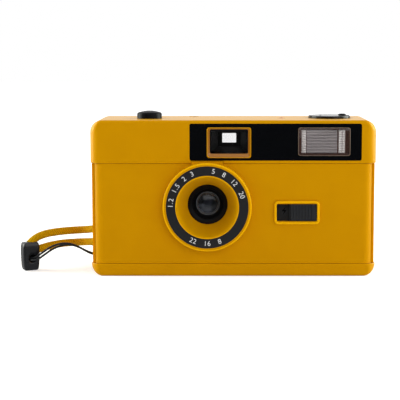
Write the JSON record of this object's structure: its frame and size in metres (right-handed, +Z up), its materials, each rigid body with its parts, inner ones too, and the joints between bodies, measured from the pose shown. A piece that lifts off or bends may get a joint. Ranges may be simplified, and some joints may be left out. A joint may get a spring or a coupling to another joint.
{
  "type": "film camera",
  "caption": "Compact focus-free 35 mm film camera with built-in flash, folding rewind crank, hinged back and a braided wrist strap, in yellow and black plastic.",
  "frame": {"origin": "middle of the camera's footprint, on the surface that it stands on", "axes": "-Y is the front with the lens, +X is to the right of a viewer who faces the lens, +Z is up"},
  "size_m": [0.1456, 0.083, 0.0665],
  "materials": {
    "yellow_abs": "satin moulded, fine spark texture",
    "black_abs": "matt moulded",
    "black_gloss": "polished",
    "clear_acrylic": "polished clear",
    "ribbed_acrylic": "clear with moulded ribs",
    "lens_glass": "polished",
    "plated_reflector": "vacuum plated",
    "spring_steel": "plain",
    "screw_steel": "zinc plated",
    "board_green": "solder masked",
    "can_aluminium": "sleeved",
    "lamp_orange": "translucent",
    "seal_foam": "flocked",
    "dial_white": "matt printed",
    "cell_jacket": "plain jacket",
    "strap_yellow": "braided",
    "strap_black": "braided thin"
  },
  "bodies": {
    "root": {"body_shell": "yellow_abs", "front_cover": "yellow_abs", "top_cover": "yellow_abs", "door_hinge_pin": "screw_steel", "chassis": "black_abs", "window_panel": "black_gloss", "lens_ring_label": "black_abs", "finder_front_lens": "clear_acrylic", "finder_tunnel": "black_abs", "finder_rear_lens": "clear_acrylic", "eyepiece": "black_abs", "flash_window": "ribbed_acrylic", "flash_reflector": "plated_reflector", "flash_tube": "lens_glass", "flash_board": "board_green", "flash_capacitor": "can_aluminium", "flash_transformer": "board_green", "switch_plate": "black_abs", "ready_lamp": "lamp_orange", "lens_barrel": "black_abs", "front_element": "lens_glass", "rear_element": "lens_glass", "aperture_plate": "black_abs", "shutter_plate": "black_abs", "blade_spring": "spring_steel", "lens_screws": "screw_steel", "button_guide": "black_abs", "button_spring": "spring_steel", "advance_pawl": "spring_steel", "counter_window": "clear_acrylic", "battery": "cell_jacket", "battery_holder": "black_abs", "battery_contacts": "spring_steel", "case_screws": "screw_steel", "strap_clamp": "black_gloss", "strap_strand_front": "strap_black", "strap_strand_rear": "strap_black", "strap_loop": "strap_yellow"},
    "door": {"back_door": "yellow_abs", "light_seals": "seal_foam", "latch_spring": "spring_steel", "pressure_spring": "spring_steel"},
    "latch": {"door_latch": "black_abs"},
    "film_plate": {"pressure_plate": "black_abs"},
    "flash_slide": {"flash_switch": "black_abs"},
    "button": {"shutter_button": "black_abs"},
    "release": {"release_lever": "black_abs"},
    "blade": {"shutter_blade": "screw_steel"},
    "advance": {"advance_wheel": "black_abs", "take_up_spool": "black_abs"},
    "film_sprocket": {"sprocket": "black_abs", "sprocket_cam": "black_abs"},
    "counter": {"counter_dial": "dial_white"},
    "bush": {"rewind_bush": "black_abs"},
    "rewind": {"rewind_shaft": "black_abs", "rewind_disc": "black_gloss"},
    "crank": {"crank_lever": "black_gloss"},
    "knob": {"crank_knob": "black_gloss"},
    "clutch": {"rewind_release": "black_abs"},
    "hatch": {"battery_door": "yellow_abs"}
  },
  "joints": [
    {"name": "door_hinge", "type": "hinge", "parent": "root", "child": "door", "pos_m": [-0.0543, 0.01517, 0.02535], "axis": [0, 0, 1], "range_deg": [0, 90]},
    {"name": "latch_slide", "type": "slide", "parent": "door", "child": "latch", "axis": [0, 0, 1], "range_m": [-0.003, 0], "stiffness_N_per_m": 150, "deforming": ["latch_spring"]},
    {"name": "film_plate_slide", "type": "slide", "parent": "door", "child": "film_plate", "axis": [0, 1, 0], "range_m": [0, 0.0004], "stiffness_N_per_m": 300, "deforming": ["pressure_spring"]},
    {"name": "flash_switch_slide", "type": "slide", "parent": "root", "child": "flash_slide", "axis": [1, 0, 0], "range_m": [-0.0057, 0]},
    {"name": "shutter_press", "type": "slide", "parent": "root", "child": "button", "axis": [0, 0, 1], "range_m": [-0.0018, 0], "stiffness_N_per_m": 400, "deforming": ["button_spring"]},
    {"name": "release_turn", "type": "hinge", "parent": "root", "child": "release", "pos_m": [-0.024, -0.0024, 0.0506], "axis": [0, 1, 0], "range_deg": [-10, 0]},
    {"name": "blade_turn", "type": "hinge", "parent": "root", "child": "blade", "pos_m": [-0.0024, 0.0029, 0.03635], "axis": [0, 1, 0], "range_deg": [0, 40]},
    {"name": "advance_turn", "type": "hinge", "parent": "root", "child": "advance", "pos_m": [-0.042, 0.00637, 0.03], "axis": [0, 0, 1], "continuous": true},
    {"name": "sprocket_turn", "type": "hinge", "parent": "root", "child": "film_sprocket", "pos_m": [-0.0256, 0.00637, 0.03], "axis": [0, 0, 1], "continuous": true},
    {"name": "counter_turn", "type": "hinge", "parent": "root", "child": "counter", "pos_m": [-0.02, 0.0086, 0.055], "axis": [0, 0, 1], "continuous": true},
    {"name": "rewind_lift", "type": "slide", "parent": "root", "child": "bush", "axis": [0, 0, 1], "range_m": [0, 0.005]},
    {"name": "rewind_turn", "type": "hinge", "parent": "bush", "child": "rewind", "pos_m": [0.0397, 0.00213, 0.06], "axis": [0, 0, 1], "continuous": true},
    {"name": "crank_fold", "type": "hinge", "parent": "rewind", "child": "crank", "pos_m": [0.0367, 0.00213, 0.06363], "axis": [0, -1, 0], "range_deg": [0, 120]},
    {"name": "knob_spin", "type": "hinge", "parent": "crank", "child": "knob", "pos_m": [0.0449, 0.00213, 0.0645], "axis": [0, 0, 1], "continuous": true},
    {"name": "clutch_press", "type": "slide", "parent": "root", "child": "clutch", "axis": [0, 0, 1], "range_m": [0, 0.0012], "stiffness_N_per_m": 300},
    {"name": "battery_door_hinge", "type": "hinge", "parent": "root", "child": "hatch", "pos_m": [0.0009, -0.00358, 0.0008], "axis": [1, 0, 0], "range_deg": [0, 100]}
  ],
  "couplings": [
    {"joint": "release_turn", "follows": "shutter_press", "rad_per_m": 96.963},
    {"joint": "blade_turn", "follows": "shutter_press", "rad_per_m": -387.85},
    {"joint": "counter_turn", "follows": "sprocket_turn", "ratio": -0.025}
  ]
}
